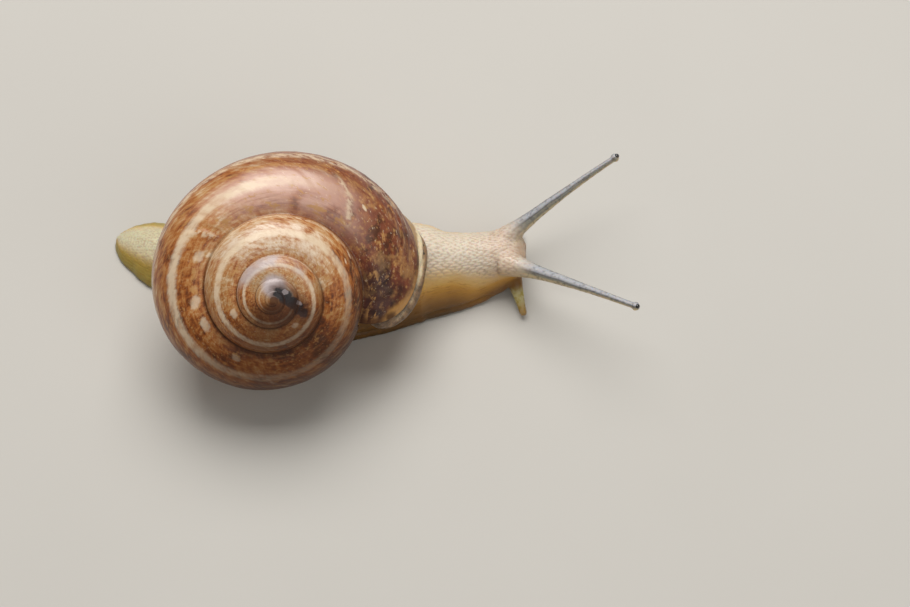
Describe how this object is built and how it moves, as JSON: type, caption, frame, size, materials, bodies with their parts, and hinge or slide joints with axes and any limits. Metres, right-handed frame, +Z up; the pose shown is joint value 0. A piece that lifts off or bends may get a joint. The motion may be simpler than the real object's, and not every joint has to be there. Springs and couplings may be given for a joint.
{
  "type": "garden snail",
  "caption": "Life-size land snail crawling on its foot, feelers out, with a low coiled shell carried on its back.",
  "frame": {"origin": "point of the sole under the shell, on the floor", "axes": "+X from tail to head, +Y to the animal's left, +Z up from the sole"},
  "size_m": [0.0546, 0.0251, 0.0201],
  "materials": {
    "shell": "satin, chestnut with cream bands and flecks",
    "skin": "moist, grained, cream above and amber on the flanks",
    "mantle": "moist, cream to tan with dark specks",
    "feeler": "moist, grey-blue, slightly see-through",
    "eye": "glossy black"
  },
  "bodies": {
    "root": {"shell": "shell", "mantle_collar": "mantle", "trunk": "skin", "tail": "skin", "neck": "skin", "head": "skin", "optic_tentacle_left": "feeler", "optic_tentacle_right": "feeler", "lower_tentacle_left": "feeler", "lower_tentacle_right": "feeler", "eye_left": "eye", "eye_right": "eye"}
  },
  "joints": []
}
